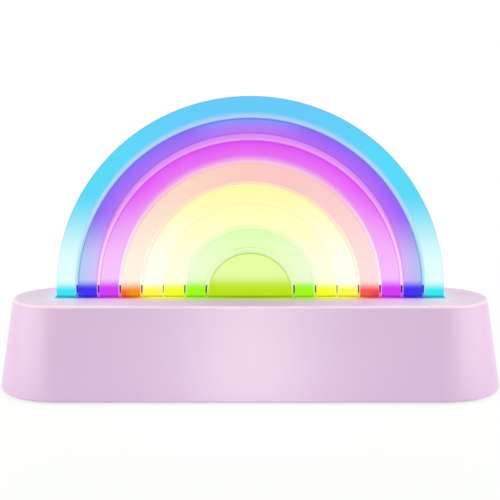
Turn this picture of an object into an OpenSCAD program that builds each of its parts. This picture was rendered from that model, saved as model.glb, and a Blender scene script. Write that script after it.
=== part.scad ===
// Rainbow lamp: nested light arcs standing in the deck of a long, flared base.
// Origin on the table under the middle, +Z up, X along the base, -Y to the front. Millimetres.

/* [Base shell] */
// Distance between the centres of the two round ends
end_span = 200; // [190:1:240]
// Radius of the round ends at the deck
deck_r = 29; // [27:0.5:34]
// How far the wall leans out from the deck to the bottom edge
flare = 8; // [4:0.5:10]
// Height from the bottom edge to the deck
shell_h = 49.5; // [46:0.5:60]
// Thickness of the side wall
wall = 2.4; // [1.8:0.1:3]
// Thickness of the deck
deck_t = 2.6; // [2:0.1:3.5]
// Rounding of the edge round the deck
deck_edge_r = 1.6; // [0.4:0.1:2]
// Rounding of the bottom edge
bottom_edge_r = 1.4; // [0.4:0.1:2]
// Gap round the arcs in the deck's slot
deck_gap = 0.3; // [0.2:0.05:0.6]

/* [Light arcs] */
// Radius of the half disc in the middle
core_r = 23; // [18:0.1:24]
// Width of each arc across its face
band = 10.3; // [8.5:0.1:11]
// Gap between one arc and the next
slot = 1.5; // [1.2:0.1:2.4]
// Thickness of the arcs from front to back
guide_t = 4; // [3:0.25:6]
// Thickness of the clear plate behind the arcs
plate_t = 1; // [0.8:0.1:1.5]
// Straight part of each leg above the deck
leg_rise = 2.4; // [1.6:0.1:6]
// Straight part of the half disc above the deck
core_rise = 1; // [0.4:0.1:6]
// Depth that each leg reaches below the deck's top face
leg_seat = 9; // [7:0.5:11]
// Rounding along the edges of the arcs
arc_edge_r = 0.4; // [0.2:0.1:0.8]

/* [Arc holder] */
// Width of the holder from front to back
holder_w = 12; // [11:0.5:14]
// Wall beyond the outermost leg
holder_end = 3; // [2:0.5:4]
// Height of the lips between the legs above the deck
lip_rise = 1.5; // [0.5:0.1:1.5]
// Clearance round each leg in its pocket
leg_gap = 0.15; // [0.1:0.05:0.25]
// Thickness of the ledge under the legs
ledge_t = 2; // [1.2:0.1:2.5]
// Width of the ledge round each light window
ledge_w = 0.8; // [0.5:0.1:1.2]
// Thickness of the skirt round the lights
skirt_t = 1.5; // [1.2:0.1:2]
// Thickness of the screw tabs
tab_t = 3; // [2:0.25:4]
// Width of the screw tabs
tab_w = 8; // [7:0.5:10]

/* [Lights] */
// Side of a light emitting diode's square package
led_size = 5; // [3.5:0.1:5]
// Height of the package
led_h = 1.6; // [1.2:0.1:2]
// Gap between the packages and the ledge above
led_gap = 0.3; // [0.2:0.1:1]
// Number of diodes under the half disc
core_leds = 3; // [1:1:3]
// Thickness of the circuit boards
pcb_t = 1.6; // [1:0.1:2]

/* [Bottom cover and feet] */
// Thickness of the bottom cover
cover_t = 2.4; // [2:0.1:3]
// Depth of the cover's face inside the bottom edge
cover_recess = 0.6; // [0.2:0.1:1.5]
// Gap between the cover's edge and the shell
cover_gap = 0.3; // [0.2:0.05:0.6]
// Radius of the round rubber feet
foot_r = 6; // [4:0.5:8]
// How far the feet stand out below the bottom edge
foot_proud = 1; // [0.6:0.1:3]
// Depth of a foot's seat in the cover
foot_seat = 1; // [0.6:0.1:1.3]
// Distance from a foot to the cover's edge
foot_margin = 5; // [3:0.5:7]
// Distance from a foot's centre back from the centre of the round end
foot_inset = 24; // [20:1:40]

/* [Columns and screws] */
// Radius of the columns that take the cover's screws
column_r = 4; // [3.5:0.25:5]
// Distance from a column back from the centre of the round end
column_inset = 8; // [4:0.5:12]
// Gap between a column and the arc holder
column_gap = 4; // [1.5:0.5:6]
// Radius of the short bosses
boss_r = 3.2; // [2.8:0.1:3.6]
// Radius of the screws' shanks
screw_r = 1.4; // [1:0.1:1.6]
// Radius of the screws' heads
head_r = 2.6; // [2:0.1:2.8]
// Height of the screws' heads
head_h = 1.8; // [1.4:0.1:2.2]
// Depth that a screw bites into its column or boss
bite = 6; // [4:0.5:6.5]

/* [Rear ports] */
// Height of the row of ports above the bottom edge
port_h = 19; // [17:0.5:22]
// Width of the recess round the ports
recess_w = 64; // [60:1:72]
// Height of the recess
recess_h = 15; // [13:0.5:16]
// Depth of the recess at the height of the ports
recess_d = 2.2; // [1.8:0.1:3]
// Thickness of the panel behind the recess
panel_t = 2; // [1.6:0.1:2.5]
// Distance from the middle port to the button and to the switch
port_pitch = 20; // [19:0.5:22]
// Gap that moving pieces keep from fixed ones
run_gap = 0.3; // [0.2:0.05:0.4]
// Thickness of the flanges behind the panel
flange_t = 1.2; // [0.8:0.1:1.5]
// Overlap of the flanges behind the panel
flange_lap = 1.2; // [0.8:0.1:1.5]

/* [Mode button] */
// Radius of the button's cap
button_r = 4.5; // [3.5:0.25:5]
// How far the cap stands out of the recess's face
button_proud = 1.4; // [1:0.1:2]
// Travel of the button
button_travel = 0.6; // [0.4:0.05:0.8]
// Radius of the push switch's plunger
plunger_r = 1; // [0.7:0.1:1.3]
// Side of the push switch's housing
push_w = 6; // [5:0.5:8]
// Depth of the push switch's housing
push_d = 3.6; // [3.5:0.1:5]

/* [Power switch] */
// Width of the slider's knob
knob_w = 5; // [4:0.25:6]
// Height of the slider's knob
knob_h = 3.4; // [3:0.1:4.5]
// How far the knob stands out of the recess's face
knob_proud = 1.2; // [0.8:0.1:2]
// Travel of the slider
slider_travel = 4; // [2:0.25:4.5]
// Width of the switch's lever
lever_w = 2; // [1.4:0.1:2.4]
// Height of the switch's lever
lever_h = 1.5; // [1:0.1:1.8]
// Depth of the slide switch's housing
slide_d = 4; // [3.5:0.1:5]

/* [Charging socket] */
// Width of the socket's metal shell
usb_w = 8.9; // [8.9:0.1:9.2]
// Height of the socket's metal shell
usb_h = 3.3; // [3.2:0.1:3.6]
// Depth of the socket
usb_d = 7.3; // [6.5:0.1:9]
// Thickness of the socket's metal
usb_t = 0.3; // [0.2:0.05:0.4]
// Gap round the socket in the panel
usb_gap = 0.25; // [0.15:0.05:0.5]

/* [Control board] */
// Width of the control board
board_w = 80; // [78:1:90]
// Distance from the screws to the board's edges
board_inset = 4; // [3.5:0.25:5]

/* [Battery] */
// Radius of the battery cell
cell_r = 9.1; // [8:0.1:9.3]
// Length of the battery cell
cell_l = 65; // [50:1:66]
// Wall of the battery holder
tray_t = 1.6; // [1.2:0.1:2]
// Gap round the cell in its holder
cell_gap = 0.4; // [0.2:0.1:0.8]
// Room for the contact at each end of the cell
contact_room = 3; // [2:0.25:4]
// Height of the bosses that carry the battery holder
tray_boss_h = 4; // [2:0.5:5]
// Radius of the leads' insulation
lead_r = 0.8; // [0.5:0.1:1]

/* [Hidden] */
$fn = 96;

// Heights in the shell
lean = atan(flare / shell_h);
deck_z = foot_proud + shell_h;
under_deck = deck_z - deck_t;
function outer_r(z) = deck_r + flare * (deck_z - z) / shell_h;
function inner_r(z) = outer_r(z) - wall / cos(lean);

// Arcs, counted from the outside in
arc_count = 7;
arch_r = core_r + arc_count * (band + slot);
arc_z = deck_z + leg_rise;
core_z = deck_z + core_rise;
leg_z = deck_z - leg_seat;
stack_t = guide_t + plate_t;
plate_y = stack_t / 2 - plate_t;
plate_r = arch_r - arc_edge_r;
function arc_in_r(i) = arch_r - band - i * (band + slot);

// Screws
fit = 0.05;
head_room = 0.2;
seat_t = 1.6;
pilot_extra = 1;
tray_bite = 4;
eps = 0.01;

// Arc holder and the light board under it
ledge_z = leg_z - ledge_t;
led_board_top = ledge_z - led_gap - led_h;
holder_bite = under_deck - ledge_z - tab_t;
holder_half = arch_r + holder_end;
end_screw_x = holder_half + tab_w / 2;
side_screw_y = holder_w / 2 + tab_w / 2;
led_board_half = end_screw_x + tab_w / 2;
leg_x = [for (i = [0 : arc_count - 1]) arc_in_r(i) + band / 2];
core_led_x = [for (i = [0 : core_leds - 1]) (i - (core_leds - 1) / 2) * 2 * core_r / core_leds];
led_x = concat(leg_x, -leg_x, core_led_x);

// Bottom cover
cover_z = foot_proud + cover_recess;
cover_top = cover_z + cover_t;
cover_r = inner_r(cover_top) - cover_gap;
head_seat_z = cover_z + head_h + head_room;
pad_top = head_seat_z + seat_t;
column_x = end_span / 2 - column_inset;
column_y = holder_w / 2 + column_gap + column_r;
foot_x = end_span / 2 - foot_inset;
foot_y = cover_r - foot_margin - foot_r;

// Ports: the recess's face, the panel and what stands behind it
port_z = foot_proud + port_h;
face_y = outer_r(port_z) - recess_d;
panel_y = face_y - panel_t;
flange_y = panel_y - run_gap - flange_t;
slide_face_y = flange_y - run_gap;
push_face_y = flange_y - run_gap - button_travel;
recess_corner = 5;
panel_margin = 2;
knob_corner = 0.8;
usb_back = 1;
plunger_in = 1;
plunger_gap = 0.1;
lever_in = 1.5;
lever_out = 2.5;
slide_end = 1.5;

// Control board
board_top = port_z - usb_h / 2;
board_rear = push_face_y;
board_front = holder_w / 2 + 0.6;
board_d = board_rear - board_front;
board_screw_x = board_w / 2 - board_inset;
board_screw_y = [board_front + board_inset, board_rear - board_inset];

// Battery, in front of the control board
cell_z = cover_top + tray_t + cell_gap + cell_r;
cell_space = cell_r + cell_gap;
tray_half_w = cell_space + tray_t;
tray_half_l = cell_l / 2 + contact_room + tray_t;
tray_y = board_front - 2 - tray_half_w;
tray_top = cell_z + 3;
tray_tab = 2 * boss_r;
tray_screw_x = tray_half_l + boss_r;
contact_t = 0.5;
contact_w = cell_r;

// Chips on the control board, each along X, Y and Z
controller_size = [10, 6, 1.6];
charger_size = [5, 4, 1.5];
charger_x = 10;
inductor_x = -14;
inductor_r = 3.2;
inductor_h = 3.6;
chip_y = board_front + 6;

// Connectors on the two boards
plug_w = 8;
plug_d = 5;
plug_h = 3;
plug_inset = 16;
led_plug_x = board_w / 2 - plug_inset;
light_plug_shift = 20;
light_plug_x = led_plug_x + light_plug_shift;
battery_plug_x = -led_plug_x;
plug_y = board_front + plug_d / 2 + 0.5;
led_plug_z = led_board_top - pcb_t - plug_h;
lead_pitch = 2.2;
lead_swing = 6;
lead_reach = 4;
lead_start_z = cell_z + contact_w / 2;
lead_steps = 18;
lead_sides = 8;

function arc_points(cx, cy, r, from, to, steps) =
    [for (i = [0 : steps]) let (a = from + (to - from) * i / steps) [cx + r * cos(a), cy + r * sin(a)]];

// Outline of a w by h rectangle with corners of radius r
function rounded(w, h, r, steps = 5) = concat(
    arc_points(w / 2 - r, h / 2 - r, r, 0, 90, steps),
    arc_points(r - w / 2, h / 2 - r, r, 90, 180, steps),
    arc_points(r - w / 2, r - h / 2, r, 180, 270, steps),
    arc_points(w / 2 - r, r - h / 2, r, 270, 360, steps));

function unit(v) = v / norm(v);

// Point of the cubic curve from a to d, leaving along b - a and arriving along d - c
function curve(a, b, c, d, t) =
    pow(1 - t, 3) * a + 3 * t * pow(1 - t, 2) * b + 3 * t * t * (1 - t) * c + t * t * t * d;
function slope(a, b, c, d, t) =
    unit(pow(1 - t, 2) * (b - a) + 2 * t * (1 - t) * (c - b) + t * t * (d - c));

// Turns a half section, drawn as distance from the middle line against height, into the long plan
module long_plan() {
    for (side = [-1, 1])
        translate([side * end_span / 2, 0, 0])
            rotate([0, 0, -side * 90])
                rotate_extrude(angle = 180) children();
    rotate([90, 0, 90])
        linear_extrude(end_span, center = true) {
            children();
            mirror([1, 0]) children();
        }
}

// A screw driven upwards, with its head's seat at z = 0
module screw(length) {
    drive = head_r * 0.55;
    difference() {
        union() {
            translate([0, 0, -head_h]) cylinder(r = head_r, h = head_h);
            translate([0, 0, -eps]) cylinder(r = screw_r, h = length + eps);
        }
        for (turn = [0, 90])
            rotate([0, 0, turn])
                translate([-drive, -0.3, -head_h - eps]) cube([2 * drive, 0.6, head_h * 0.6]);
    }
}

// Hole for a screw's shank, from below z = 0 up through h
module screw_hole(h) {
    translate([0, 0, -eps]) cylinder(r = screw_r + fit, h = h + 2 * eps);
}

// A boss that hangs from the deck down to z, with its pilot hole cut later
module hanging_boss(z, r) {
    translate([0, 0, z]) cylinder(r = r, h = under_deck + deck_t / 2 - z);
}

// Places its children at the four corners
module at_corners(x, y) {
    for (sx = [-1, 1], sy = [-1, 1])
        translate([sx * x, sy * y, 0]) children();
}

// Places its children at the arc holder's four screws
module at_holder_screws() {
    for (side = [-1, 1]) {
        translate([side * end_screw_x, 0, 0]) children();
        translate([0, side * side_screw_y, 0]) children();
    }
}

module at_board_screws() {
    for (side = [-1, 1], y = board_screw_y)
        translate([side * board_screw_x, y, 0]) children();
}

// Turns an outline drawn as X against Z to face the rear, from y outwards by d
module facing_rear(x, y, d) {
    translate([x, y + d, port_z])
        rotate([90, 0, 0])
            linear_extrude(d) children();
}

module shell_section() {
    top_c = [deck_r - deck_edge_r * (1 - sin(lean)) / cos(lean), deck_z - deck_edge_r];
    low_z = foot_proud + bottom_edge_r;
    low_c = [outer_r(low_z) - bottom_edge_r / cos(lean), low_z];
    polygon(concat(
        [[0, deck_z]],
        arc_points(top_c[0], top_c[1], deck_edge_r, 90, lean, 6),
        arc_points(low_c[0], low_c[1], bottom_edge_r, lean, -90, 8),
        [[inner_r(foot_proud), foot_proud]],
        [[inner_r(under_deck), under_deck]],
        [[0, under_deck]]));
}

// Thicker wall behind the recess, its rear face buried in the shell's wall
module panel_block() {
    z0 = port_z - recess_h / 2 - panel_margin;
    z1 = port_z + recess_h / 2 + panel_margin;
    rotate([90, 0, 90])
        linear_extrude(recess_w + 2 * panel_margin, center = true)
            polygon([[panel_y, z0], [outer_r(z0) - wall / 2, z0],
                [outer_r(z1) - wall / 2, z1], [panel_y, z1]]);
}

module base_shell() {
    color("#e0cae0")
        difference() {
            union() {
                long_plan() shell_section();
                panel_block();
                at_corners(column_x, column_y) hanging_boss(pad_top, column_r);
                at_holder_screws() hanging_boss(ledge_z + tab_t, boss_r);
                at_board_screws() hanging_boss(board_top, boss_r);
            }
            translate([0, 0, under_deck])
                linear_extrude(4 * deck_t, center = true)
                    square([2 * (arch_r + deck_gap), stack_t + 2 * deck_gap], center = true);
            at_corners(column_x, column_y)
                translate([0, 0, pad_top]) screw_hole(bite + pilot_extra);
            at_holder_screws()
                translate([0, 0, ledge_z + tab_t]) screw_hole(bite);
            at_board_screws()
                translate([0, 0, board_top]) screw_hole(bite + pilot_extra);
            facing_rear(0, face_y, 3 * recess_d + flare) polygon(rounded(recess_w, recess_h, recess_corner));
            facing_rear(0, panel_y - eps, panel_t + 2 * eps)
                polygon(rounded(usb_w + 2 * usb_gap, usb_h + 2 * usb_gap, usb_h / 2 + usb_gap - eps));
            facing_rear(port_pitch, panel_y - eps, panel_t + 2 * eps)
                polygon(rounded(knob_w + slider_travel + 2 * run_gap, knob_h + 2 * run_gap, knob_corner));
            facing_rear(-port_pitch, panel_y - eps, panel_t + 2 * eps) circle(r = button_r + run_gap);
        }
}

module bottom_cover() {
    pad_r = head_r + head_room + 2;
    cover_mid = cover_z + cover_t / 2;
    color("#d8c2d8")
        difference() {
            union() {
                long_plan()
                    translate([0, cover_z]) square([cover_r, cover_t]);
                at_corners(column_x, column_y)
                    translate([0, 0, cover_mid]) cylinder(r = pad_r, h = pad_top - cover_mid);
                at_tray_screws()
                    translate([0, 0, cover_mid]) cylinder(r = boss_r, h = cover_t / 2 + tray_boss_h);
            }
            at_corners(column_x, column_y) {
                translate([0, 0, cover_z - eps])
                    cylinder(r = head_r + head_room, h = head_h + head_room + eps);
                translate([0, 0, cover_z]) screw_hole(pad_top - cover_z);
            }
            at_corners(foot_x, foot_y)
                translate([0, 0, cover_z - eps]) cylinder(r = foot_r + fit, h = foot_seat + eps);
            at_tray_screws()
                translate([0, 0, cover_top + tray_boss_h - tray_bite]) screw_hole(tray_bite);
        }
}

// Round rubber foot, glued into its seat, with a bevel round the face it stands on
module foot(sx, sy) {
    top = cover_z + foot_seat;
    bevel = foot_proud / 2;
    color("#8f8a90")
        translate([sx * foot_x, sy * foot_y, 0])
            rotate_extrude()
                polygon([[0, 0], [foot_r - bevel, 0], [foot_r, bevel], [foot_r, top], [0, top]]);
}

module cover_screws() {
    color("silver")
        at_corners(column_x, column_y)
            translate([0, 0, head_seat_z]) screw(seat_t + bite);
}

// One arc of light: a half ring on two straight legs that reach down into the holder
module arc(i, tint) {
    middle = arc_in_r(i) + band / 2;
    color(tint)
        translate([0, -plate_t / 2, 0]) {
            translate([0, 0, arc_z])
                rotate([90, 0, 0])
                    rotate_extrude(angle = 180)
                        translate([middle, 0]) polygon(rounded(band, guide_t, arc_edge_r, 3));
            for (side = [-1, 1])
                translate([side * middle, 0, leg_z])
                    linear_extrude(arc_z - leg_z) polygon(rounded(band, guide_t, arc_edge_r, 3));
        }
}

module half_disc(tint) {
    e = arc_edge_r;
    color(tint)
        translate([0, -plate_t / 2, 0]) {
            translate([0, 0, core_z])
                rotate([90, 0, 0])
                    rotate_extrude(angle = 180)
                        polygon(concat(
                            [[0, -guide_t / 2]],
                            arc_points(core_r - e, e - guide_t / 2, e, -90, 0, 3),
                            arc_points(core_r - e, guide_t / 2 - e, e, 0, 90, 3),
                            [[0, guide_t / 2]]));
            translate([0, 0, leg_z])
                linear_extrude(core_z - leg_z) polygon(rounded(2 * core_r, guide_t, e, 3));
        }
}

// Clear plate that all the arcs are bonded to, seen through the gaps between them
module back_plate() {
    color("#e9e2f6") {
        translate([0, plate_y + plate_t, arc_z])
            rotate([90, 0, 0])
                rotate_extrude(angle = 180) square([plate_r, plate_t]);
        translate([-plate_r, plate_y, leg_z]) cube([2 * plate_r, plate_t, arc_z - leg_z]);
    }
}

// The legs' pockets, and under each a smaller window for the light
module leg_pocket(x, w) {
    translate([x - w / 2 - leg_gap, -stack_t / 2 - leg_gap, leg_z])
        cube([w + 2 * leg_gap, stack_t + 2 * leg_gap, deck_z + 2 * lip_rise - leg_z]);
    translate([x - w / 2 + ledge_w, ledge_w - stack_t / 2, ledge_z - eps])
        cube([w - 2 * ledge_w, stack_t - 2 * ledge_w, ledge_t + 2 * eps]);
}

// Opaque comb that spaces the legs: pockets, lips between the legs, skirt round the lights, tabs
module arc_holder() {
    lip_half = arch_r - band / 2;
    color("#f4f2f4")
        difference() {
            union() {
                translate([-holder_half, -holder_w / 2, ledge_z])
                    cube([2 * holder_half, holder_w, under_deck - ledge_z]);
                translate([-lip_half, -stack_t / 2, under_deck - eps])
                    cube([2 * lip_half, guide_t, deck_t + lip_rise + eps]);
                translate([-led_board_half, -holder_w / 2, led_board_top])
                    cube([2 * led_board_half, holder_w, ledge_z + tab_t - led_board_top]);
                translate([-tab_w / 2, -side_screw_y - tab_w / 2, ledge_z])
                    cube([tab_w, 2 * side_screw_y + tab_w, tab_t]);
            }
            for (x = leg_x, side = [-1, 1])
                leg_pocket(side * x, band);
            leg_pocket(0, 2 * core_r);
            translate([-plate_r - leg_gap, plate_y, leg_z])
                cube([2 * (plate_r + leg_gap), plate_t + leg_gap, deck_z + lip_rise - leg_z]);
            translate([-arch_r, skirt_t - holder_w / 2, led_board_top - eps])
                cube([2 * arch_r, holder_w - 2 * skirt_t, ledge_z - led_board_top + eps]);
            at_holder_screws()
                translate([0, 0, led_board_top]) screw_hole(ledge_z + tab_t - led_board_top);
        }
}

// Two screws pass through the light board's ends, two through the holder's side tabs
module holder_screws() {
    color("silver") {
        for (side = [-1, 1]) {
            translate([side * end_screw_x, 0, led_board_top - pcb_t])
                screw(ledge_z + tab_t - led_board_top + pcb_t + holder_bite);
            translate([0, side * side_screw_y, ledge_z]) screw(tab_t + holder_bite);
        }
    }
}

module led_board() {
    color("#eef0ea")
        difference() {
            translate([-led_board_half, -holder_w / 2, led_board_top - pcb_t])
                cube([2 * led_board_half, holder_w, pcb_t]);
            for (side = [-1, 1])
                translate([side * end_screw_x, 0, led_board_top - pcb_t]) screw_hole(pcb_t);
        }
}

// Square packages with a shallow round dish on top
module leds() {
    dish_r = led_size * 0.4;
    dish_d = led_h / 4;
    color("#fbf6c8")
        for (x = led_x)
            translate([x, 0, led_board_top])
                difference() {
                    translate([-led_size / 2, -led_size / 2, 0]) cube([led_size, led_size, led_h]);
                    translate([0, 0, led_h - dish_d])
                        cylinder(r1 = dish_r * 0.8, r2 = dish_r, h = dish_d + eps);
                }
}

// Header and plug on the control board, the plug narrower than its header
module connector(x) {
    rim = 0.6;
    translate([x - plug_w / 2, plug_y - plug_d / 2, board_top]) {
        cube([plug_w, plug_d, plug_h / 2]);
        translate([rim, rim, plug_h / 2 - eps])
            cube([plug_w - 2 * rim, plug_d - 2 * rim, plug_h / 2 + eps]);
    }
}

// One connector hangs under the light board, its partner stands on the control board
module led_connectors() {
    color("ivory") {
        translate([light_plug_x - plug_w / 2, -plug_d / 2, led_plug_z])
            cube([plug_w, plug_d, plug_h]);
        connector(led_plug_x);
    }
}

module battery_connector() {
    color("ivory") connector(battery_plug_x);
}

// A round lead along the curve from a to d, with level ends
module lead(a, b, c, d) {
    side = [0, -0.6, 0.8];
    up = [0, 0, sign(b[2] - a[2])];
    rings = [for (i = [0 : lead_steps]) let (
        t = i / lead_steps,
        along = i == 0 ? up : slope(a, b, c, d, t),
        u = unit(cross(along, side)),
        v = cross(along, u))
        for (k = [0 : lead_sides - 1])
            curve(a, b, c, d, t) + lead_r * (cos(360 * k / lead_sides) * u + sin(360 * k / lead_sides) * v)];
    walls = [for (i = [0 : lead_steps - 1], k = [0 : lead_sides - 1]) let (
        n = (k + 1) % lead_sides)
        [i * lead_sides + k, (i + 1) * lead_sides + k, (i + 1) * lead_sides + n, i * lead_sides + n]];
    near = [for (k = [0 : lead_sides - 1]) k];
    far = [for (k = [lead_sides - 1 : -1 : 0]) lead_steps * lead_sides + k];
    polyhedron(rings, concat([near], walls, [far]));
}

// Three leads from the light board's connector down to the control board's
module led_lead() {
    start = [light_plug_x, 0, led_plug_z];
    end = [led_plug_x, plug_y, board_top + plug_h];
    reach = [0, 0, lead_reach];
    tints = ["green", "white", "red"];
    for (i = [-1 : 1])
        color(tints[i + 1])
            translate([i * lead_pitch, 0, 0]) lead(start, start - reach, end + reach, end);
}

module control_board() {
    color("#1f6b4a")
        difference() {
            translate([-board_w / 2, board_front, board_top - pcb_t]) cube([board_w, board_d, pcb_t]);
            at_board_screws()
                translate([0, 0, board_top - pcb_t]) screw_hole(pcb_t);
        }
}

module board_screws() {
    color("silver")
        at_board_screws()
            translate([0, 0, board_top - pcb_t]) screw(pcb_t + bite);
}

// Drawn metal shell, open to the rear, round a thin tongue
module usb_socket() {
    color("#c9ccd0") {
        difference() {
            facing_rear(0, face_y - run_gap - usb_d, usb_d)
                polygon(rounded(usb_w, usb_h, usb_h / 2 - eps, 8));
            facing_rear(0, face_y - run_gap - usb_d + usb_back, usb_d)
                polygon(rounded(usb_w - 2 * usb_t, usb_h - 2 * usb_t, usb_h / 2 - usb_t - eps, 8));
        }
        facing_rear(0, face_y - run_gap - usb_d + usb_back - eps, usb_d - usb_back - 0.8)
            square([usb_w * 0.75, 0.7], center = true);
    }
}

module chip(x, size) {
    translate([x - size[0] / 2, chip_y - size[1] / 2, board_top]) cube(size);
}

module controller_chip() {
    color("#26282b") chip(0, controller_size);
}

module charger_chip() {
    color("#26282b") chip(charger_x, charger_size);
}

// Round core with a waist for the winding
module power_inductor() {
    waist_r = inductor_r * 0.75;
    color("#4a4d52")
        translate([inductor_x, chip_y, board_top])
            rotate_extrude()
                polygon([[0, 0], [inductor_r, 0], [inductor_r, inductor_h * 0.22], [waist_r, inductor_h / 3],
                    [waist_r, inductor_h * 2 / 3], [inductor_r, inductor_h * 0.78],
                    [inductor_r, inductor_h], [0, inductor_h]]);
}

module push_switch() {
    color("#3a3c40")
        difference() {
            translate([-port_pitch - push_w / 2, push_face_y - push_d, board_top])
                cube([push_w, push_d, usb_h]);
            facing_rear(-port_pitch, push_face_y - plunger_in - button_travel - run_gap,
                plunger_in + button_travel + run_gap + eps)
                circle(r = plunger_r + plunger_gap);
        }
}

module push_plunger() {
    color("white")
        facing_rear(-port_pitch, push_face_y - plunger_in, flange_y - push_face_y + plunger_in)
            circle(r = plunger_r);
}

// Turned outline: flange behind the panel, stem through it, rounded cap outside
module mode_button() {
    e = 0.8;
    cap = panel_y + panel_t + button_proud - flange_y;
    flange_r = button_r + run_gap + flange_lap;
    color("#f6eef6")
        translate([-port_pitch, flange_y, port_z])
            rotate([-90, 0, 0])
                rotate_extrude()
                    polygon(concat(
                        [[0, 0], [flange_r, 0], [flange_r, flange_t], [button_r, flange_t]],
                        arc_points(button_r - e, cap - e, e, 0, 90, 5),
                        [[0, cap]]));
}

module slide_switch() {
    window = lever_w + slider_travel + 2 * run_gap;
    color("#b9bcc1")
        difference() {
            translate([port_pitch - window / 2 - slide_end, slide_face_y - slide_d, board_top])
                cube([window + 2 * slide_end, slide_d, usb_h]);
            facing_rear(port_pitch, slide_face_y - lever_in - run_gap, lever_in + run_gap + eps)
                square([window, lever_h + 2 * run_gap], center = true);
        }
}

module switch_lever() {
    color("#26282b")
        facing_rear(port_pitch - slider_travel / 2, slide_face_y - lever_in, lever_in + lever_out)
            square([lever_w, lever_h], center = true);
}

// Knob with grip ridges on a long flange that always covers its window
module power_slider() {
    flange_half = knob_w / 2 + slider_travel + run_gap + flange_lap;
    tip_y = face_y + knob_proud;
    groove_pitch = knob_w / 5;
    color("#f6eef6")
        difference() {
            union() {
                facing_rear(port_pitch - slider_travel / 2, flange_y, flange_t)
                    polygon(rounded(2 * flange_half, knob_h + 2 * (run_gap + flange_lap), 1));
                facing_rear(port_pitch - slider_travel / 2, flange_y + eps, tip_y - flange_y - eps)
                    polygon(rounded(knob_w, knob_h, knob_corner));
            }
            facing_rear(port_pitch - slider_travel / 2, flange_y - eps, lever_out - run_gap + fit + eps)
                square([lever_w + 2 * fit, lever_h + 2 * fit], center = true);
            for (i = [-1 : 1])
                facing_rear(port_pitch - slider_travel / 2 + i * groove_pitch, tip_y - 0.4, 1)
                    square([groove_pitch / 2, knob_h + 1], center = true);
        }
}

// Round cell with a step at the positive end
module battery_cell() {
    button = 1.2;
    color("#3f7fc4")
        translate([-cell_l / 2, tray_y, cell_z])
            rotate([0, 90, 0])
                rotate_extrude()
                    polygon(concat(
                        [[0, 0]],
                        arc_points(cell_r - 0.6, 0.6, 0.6, -90, 0, 3),
                        arc_points(cell_r - 0.6, cell_l - button - 0.6, 0.6, 0, 90, 3),
                        [[cell_r * 0.3, cell_l - button], [cell_r * 0.3, cell_l], [0, cell_l]]));
}

module at_tray_screws() {
    for (side = [-1, 1])
        translate([side * tray_screw_x, tray_y, 0]) children();
}

// Open box with a rounded floor for the cell, and a screw tab at each end
module battery_tray() {
    tab_z = cover_top + tray_boss_h;
    color("#2b2d30")
        difference() {
            union() {
                translate([-tray_half_l, tray_y - tray_half_w, cover_top])
                    cube([2 * tray_half_l, 2 * tray_half_w, tray_top - cover_top]);
                translate([-tray_half_l - tray_tab, tray_y - boss_r, tab_z])
                    cube([2 * (tray_half_l + tray_tab), 2 * boss_r, tray_t]);
            }
            translate([-tray_half_l + tray_t, tray_y, cell_z])
                rotate([0, 90, 0]) cylinder(r = cell_space, h = 2 * (tray_half_l - tray_t));
            translate([-tray_half_l + tray_t, tray_y - cell_space, cell_z])
                cube([2 * (tray_half_l - tray_t), 2 * cell_space, tray_top]);
            at_tray_screws()
                translate([0, 0, tab_z]) screw_hole(tray_t);
        }
}

// Sprung plates between the holder's end walls and the cell's ends
module battery_contacts() {
    color("#c9ccd0")
        for (side = [-1, 1])
            translate([side * (tray_half_l - tray_t), tray_y, cell_z])
                rotate([0, -side * 90, 0]) {
                    translate([-contact_w / 2, -contact_w / 2, 0]) cube([contact_w, contact_w, contact_t]);
                    translate([0, 0, contact_t - eps])
                        cylinder(r1 = 3.2, r2 = 2, h = contact_room - contact_t + eps);
                }
}

module battery_screws() {
    color("silver")
        at_tray_screws()
            translate([0, 0, cover_top + tray_boss_h + tray_t])
                mirror([0, 0, 1]) screw(tray_t + tray_bite - fit);
}

// Two leads from the contacts' upper edges, up beside the cell, to the control board
module battery_lead() {
    tints = ["black", "red"];
    for (i = [0, 1]) {
        side = 2 * i - 1;
        start = [side * (tray_half_l - tray_t - contact_t / 2), tray_y, lead_start_z];
        crest = [start[0] + side * lead_swing, board_front - 2 * lead_r, led_board_top - pcb_t];
        end = [battery_plug_x + side * lead_pitch / 2, plug_y, board_top + plug_h];
        color(tints[i])
            lead(start, crest, end + [0, 0, lead_reach], end);
    }
}

base_shell();
bottom_cover();
foot(-1, -1);  // foot_front_left
foot(1, -1);  // foot_front_right
foot(-1, 1);  // foot_rear_left
foot(1, 1);  // foot_rear_right
cover_screws();
arc(0, "#6accfb");  // sky_arc
arc(1, "#a07cff");  // violet_arc
arc(2, "#e468fc");  // magenta_arc
arc(3, "#ffc9c6");  // pink_arc
arc(4, "#fcf8ac");  // yellow_arc
arc(5, "#f8fbb2");  // lemon_arc
arc(6, "#d6f7a4");  // green_arc
half_disc("#c6ec3c");  // lime_half_disc
back_plate();
arc_holder();
holder_screws();
led_board();
leds();
led_connectors();
led_lead();
control_board();
board_screws();
usb_socket();
controller_chip();
charger_chip();
power_inductor();
push_switch();
push_plunger();
mode_button();
slide_switch();
switch_lever();
power_slider();
battery_cell();
battery_tray();
battery_contacts();
battery_screws();
battery_connector();
battery_lead();
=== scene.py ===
import math
from typing import NamedTuple

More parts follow.
